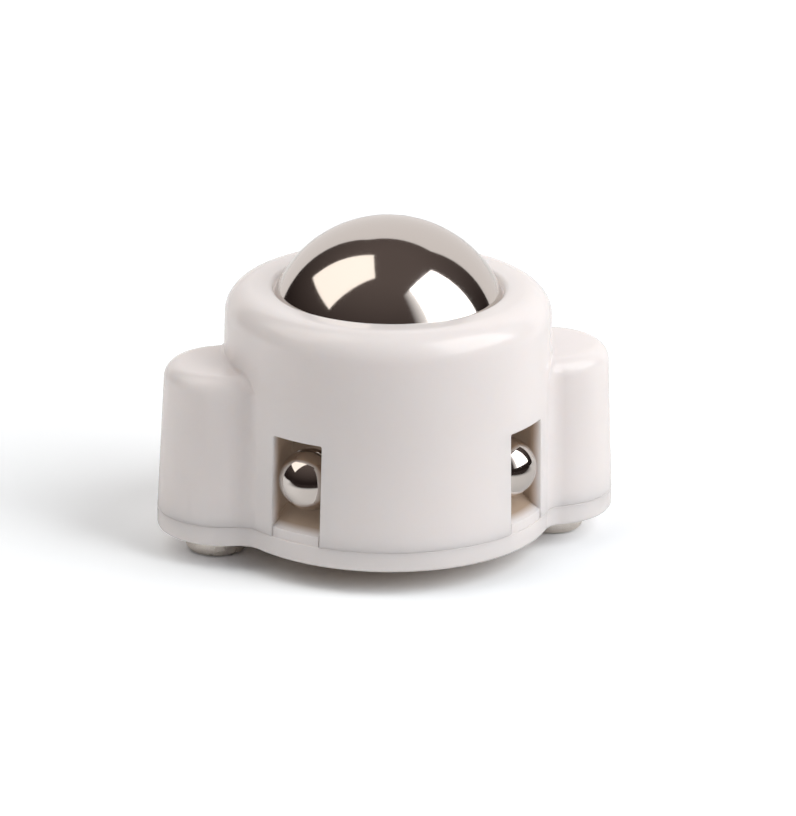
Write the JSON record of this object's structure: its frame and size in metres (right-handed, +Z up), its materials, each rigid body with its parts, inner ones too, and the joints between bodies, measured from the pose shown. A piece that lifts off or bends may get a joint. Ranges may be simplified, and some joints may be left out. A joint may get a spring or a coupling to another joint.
{
  "type": "ball transfer unit",
  "caption": "Small ball transfer unit: a polished steel ball held in a white moulded cup with two closed screw ears, over small bearing balls that show through windows.",
  "frame": {"origin": "on the axis of the cup, in the plane that the two screw heads stand on", "axes": "+Z up along the axis of the cup and through the crown of the main ball; X runs through the two ears and their screws"},
  "size_m": [0.0298, 0.0216, 0.0214],
  "materials": {
    "housing_plastic": "white glossy moulded plastic",
    "base_plastic": "white glossy moulded plastic, of the same shade as the housing",
    "ball_steel": "mirror-polished hardened steel",
    "bearing_steel": "polished hardened steel",
    "screw_steel": "zinc-plated steel"
  },
  "bodies": {
    "unit": {"housing": "housing_plastic", "base": "base_plastic", "screw_left": "screw_steel", "screw_right": "screw_steel"},
    "main_ball": {"main_ball": "ball_steel"},
    "bearing_ball_1": {"bearing_ball_1": "bearing_steel"},
    "bearing_ball_2": {"bearing_ball_2": "bearing_steel"},
    "bearing_ball_3": {"bearing_ball_3": "bearing_steel"},
    "bearing_ball_4": {"bearing_ball_4": "bearing_steel"}
  },
  "joints": [
    {"name": "main_ball_roll", "type": "hinge", "parent": "unit", "child": "main_ball", "pos_m": [0, 0, 0.0135], "axis": [1, 0, 0], "continuous": true},
    {"name": "bearing_ball_1_roll", "type": "hinge", "parent": "unit", "child": "bearing_ball_1", "pos_m": [0.00632, 0.00632, 0.00663], "axis": [0.8369, -0.3579, 0.4141], "continuous": true},
    {"name": "bearing_ball_2_roll", "type": "hinge", "parent": "unit", "child": "bearing_ball_2", "pos_m": [-0.00632, 0.00632, 0.00663], "axis": [0.8369, 0.3579, -0.4141], "continuous": true},
    {"name": "bearing_ball_3_roll", "type": "hinge", "parent": "unit", "child": "bearing_ball_3", "pos_m": [-0.00632, -0.00632, 0.00663], "axis": [0.8369, -0.3579, -0.4141], "continuous": true},
    {"name": "bearing_ball_4_roll", "type": "hinge", "parent": "unit", "child": "bearing_ball_4", "pos_m": [0.00632, -0.00632, 0.00663], "axis": [0.8369, 0.3579, 0.4141], "continuous": true}
  ],
  "couplings": [
    {"joint": "bearing_ball_1_roll", "follows": "main_ball_roll", "ratio": -3.3476},
    {"joint": "bearing_ball_2_roll", "follows": "main_ball_roll", "ratio": -3.3476},
    {"joint": "bearing_ball_3_roll", "follows": "main_ball_roll", "ratio": -3.3476},
    {"joint": "bearing_ball_4_roll", "follows": "main_ball_roll", "ratio": -3.3476}
  ]
}
